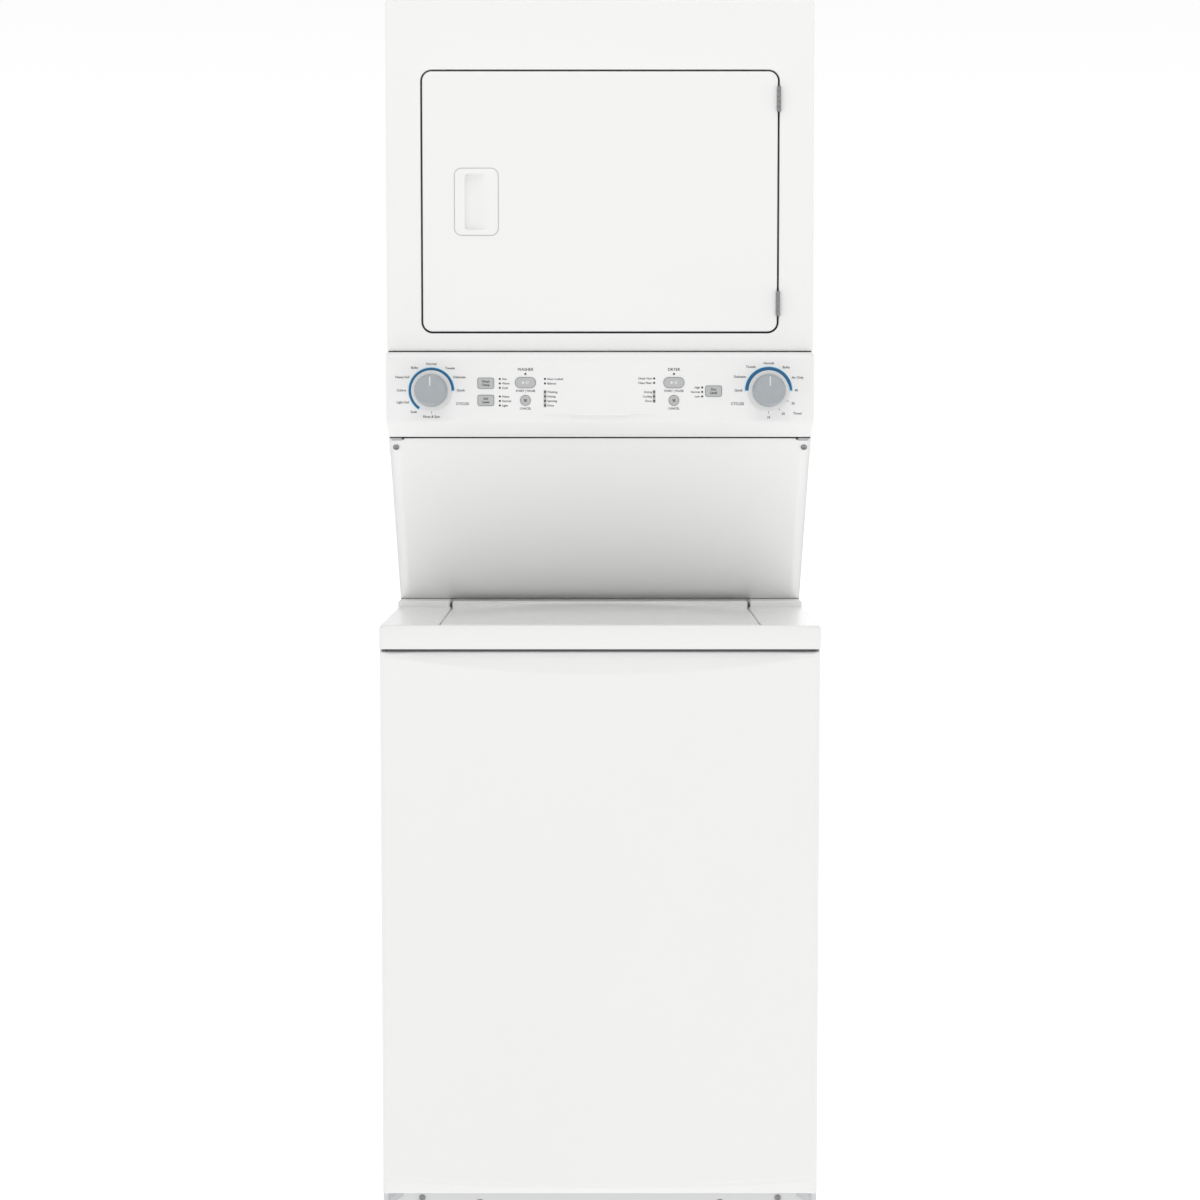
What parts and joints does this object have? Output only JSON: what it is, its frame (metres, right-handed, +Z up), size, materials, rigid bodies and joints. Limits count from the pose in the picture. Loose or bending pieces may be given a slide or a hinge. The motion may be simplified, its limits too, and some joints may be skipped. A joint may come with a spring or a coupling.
{
  "type": "washer dryer stack",
  "caption": "Stacked laundry centre: top-loading washer below, front-loading tumble dryer above, joined by a forward-leaning panel and a control console.",
  "frame": {"origin": "on the floor, under the middle of the bounding box", "axes": "+Z up, -Y the front with lid, door and controls, +X the user's right"},
  "size_m": [0.686, 0.8, 1.908],
  "materials": {
    "enamel_white": "glossy baked enamel",
    "panel_white": "satin moulded plastic",
    "control_grey": "fine satin",
    "lamp_dark": "small dark lenses",
    "zinc_steel": "galvanised sheet",
    "bright_steel": "plated",
    "drum_steel": "pressed sheet",
    "black_rubber": "matt",
    "seal_felt": "soft lip",
    "tub_plastic": "moulded",
    "fan_plastic": "moulded",
    "motor_black": "satin",
    "cast_alloy": "as cast",
    "board_green": "lacquered",
    "valve_blue": "moulded"
  },
  "bodies": {
    "cabinet": {"washer_cabinet": "enamel_white", "washer_front_panel": "enamel_white", "base_frame": "zinc_steel", "leveling_legs": "black_rubber", "top_deck": "enamel_white", "suspension_rods": "zinc_steel", "suspension_springs": "bright_steel", "inlet_valve": "valve_blue", "drain_pump": "black_rubber", "dryer_cabinet": "enamel_white", "dryer_front_panel": "enamel_white", "drum_bulkhead": "zinc_steel", "rear_panel": "zinc_steel", "sloped_panel": "enamel_white", "panel_screws": "bright_steel", "console_fascia": "panel_white", "indicator_lights": "lamp_dark", "control_board": "board_green", "frame_hinge_leaves": "bright_steel", "heater_housing": "zinc_steel", "blower_housing": "fan_plastic", "dryer_motor": "motor_black", "drum_belt": "black_rubber", "exhaust_duct": "zinc_steel", "terminal_cover": "zinc_steel", "dryer_base": "zinc_steel", "door_catch": "fan_plastic"},
    "lid": {"washer_lid": "enamel_white", "lid_liner": "panel_white"},
    "door": {"door_outer": "enamel_white", "door_inner": "enamel_white", "door_seal": "seal_felt", "door_handle": "panel_white", "door_hinge_leaves": "bright_steel", "door_strike": "bright_steel"},
    "drum": {"dryer_drum": "drum_steel", "drum_vanes": "panel_white"},
    "fan_shaft": {"motor_shaft": "bright_steel", "blower_wheel": "fan_plastic"},
    "idler": {"idler_pulley": "fan_plastic"},
    "filter": {"lint_filter": "fan_plastic"},
    "tub": {"outer_tub": "tub_plastic", "tub_cover": "tub_plastic", "gearcase": "cast_alloy", "washer_motor": "motor_black", "washer_belt": "black_rubber"},
    "basket": {"wash_basket": "drum_steel", "balance_ring": "panel_white"},
    "agitator": {"agitator": "panel_white"},
    "basket_drive": {"tub_pulley": "cast_alloy"},
    "motor_drive": {"motor_pulley": "bright_steel"},
    "washer_dial": {"washer_knob": "control_grey"},
    "dryer_dial": {"dryer_knob": "control_grey"},
    "temperature_button_body": {"temperature_button": "control_grey"},
    "level_button_body": {"level_button": "control_grey"},
    "washer_start_button_body": {"washer_start_button": "control_grey"},
    "washer_cancel_button_body": {"washer_cancel_button": "control_grey"},
    "dryness_button_body": {"dryness_button": "control_grey"},
    "dryer_start_button_body": {"dryer_start_button": "control_grey"},
    "dryer_cancel_button_body": {"dryer_cancel_button": "control_grey"}
  },
  "joints": [
    {"name": "lid_hinge", "type": "hinge", "parent": "cabinet", "child": "lid", "pos_m": [0, -0.02, 0.92], "axis": [-1, 0, 0], "range_deg": [0, 52]},
    {"name": "door_hinge", "type": "hinge", "parent": "cabinet", "child": "door", "pos_m": [0.2835, -0.2444, 1.592], "axis": [0, 0, 1], "range_deg": [0, 160]},
    {"name": "drum_spin", "type": "hinge", "parent": "cabinet", "child": "drum", "pos_m": [0, 0, 1.592], "axis": [0, 1, 0], "continuous": true},
    {"name": "fan_spin", "type": "hinge", "parent": "cabinet", "child": "fan_shaft", "pos_m": [0.215, 0, 1.29], "axis": [0, 1, 0], "continuous": true},
    {"name": "idler_spin", "type": "hinge", "parent": "cabinet", "child": "idler", "pos_m": [0.13, 0, 1.262], "axis": [0, 1, 0], "continuous": true},
    {"name": "filter_lift", "type": "slide", "parent": "cabinet", "child": "filter", "axis": [0, 0, 1], "range_m": [0, 0.135]},
    {"name": "tub_bounce", "type": "slide", "parent": "cabinet", "child": "tub", "axis": [0, 0, 1], "range_m": [-0.015, 0.015], "stiffness_N_per_m": 8000, "springref_m": 0.04, "deforming": ["suspension_springs"]},
    {"name": "basket_spin", "type": "hinge", "parent": "tub", "child": "basket", "pos_m": [0, -0.078, 0], "axis": [0, 0, 1], "continuous": true},
    {"name": "agitator_turn", "type": "hinge", "parent": "basket", "child": "agitator", "pos_m": [0, -0.078, 0], "axis": [0, 0, 1], "continuous": true},
    {"name": "tub_pulley_spin", "type": "hinge", "parent": "tub", "child": "basket_drive", "pos_m": [0, -0.078, 0], "axis": [0, 0, 1], "continuous": true},
    {"name": "motor_pulley_spin", "type": "hinge", "parent": "tub", "child": "motor_drive", "pos_m": [-0.125, 0.037, 0], "axis": [0, 0, 1], "continuous": true},
    {"name": "washer_knob_turn", "type": "hinge", "parent": "cabinet", "child": "washer_dial", "pos_m": [-0.268, 0, 1.293], "axis": [0, 1, 0], "continuous": true},
    {"name": "dryer_knob_turn", "type": "hinge", "parent": "cabinet", "child": "dryer_dial", "pos_m": [0.268, 0, 1.293], "axis": [0, 1, 0], "continuous": true},
    {"name": "temperature_press", "type": "slide", "parent": "cabinet", "child": "temperature_button_body", "axis": [0, 1, 0], "range_m": [0, 0.0015], "stiffness_N_per_m": 600},
    {"name": "level_press", "type": "slide", "parent": "cabinet", "child": "level_button_body", "axis": [0, 1, 0], "range_m": [0, 0.0015], "stiffness_N_per_m": 600},
    {"name": "washer_start_press", "type": "slide", "parent": "cabinet", "child": "washer_start_button_body", "axis": [0, 1, 0], "range_m": [0, 0.0015], "stiffness_N_per_m": 600},
    {"name": "washer_cancel_press", "type": "slide", "parent": "cabinet", "child": "washer_cancel_button_body", "axis": [0, 1, 0], "range_m": [0, 0.0015], "stiffness_N_per_m": 600},
    {"name": "dryness_press", "type": "slide", "parent": "cabinet", "child": "dryness_button_body", "axis": [0, 1, 0], "range_m": [0, 0.0015], "stiffness_N_per_m": 600},
    {"name": "dryer_start_press", "type": "slide", "parent": "cabinet", "child": "dryer_start_button_body", "axis": [0, 1, 0], "range_m": [0, 0.0015], "stiffness_N_per_m": 600},
    {"name": "dryer_cancel_press", "type": "slide", "parent": "cabinet", "child": "dryer_cancel_button_body", "axis": [0, 1, 0], "range_m": [0, 0.0015], "stiffness_N_per_m": 600}
  ],
  "couplings": [
    {"joint": "fan_spin", "follows": "drum_spin", "ratio": 21.786},
    {"joint": "idler_spin", "follows": "drum_spin", "ratio": 15.25},
    {"joint": "motor_pulley_spin", "follows": "tub_pulley_spin", "ratio": 5.5}
  ]
}
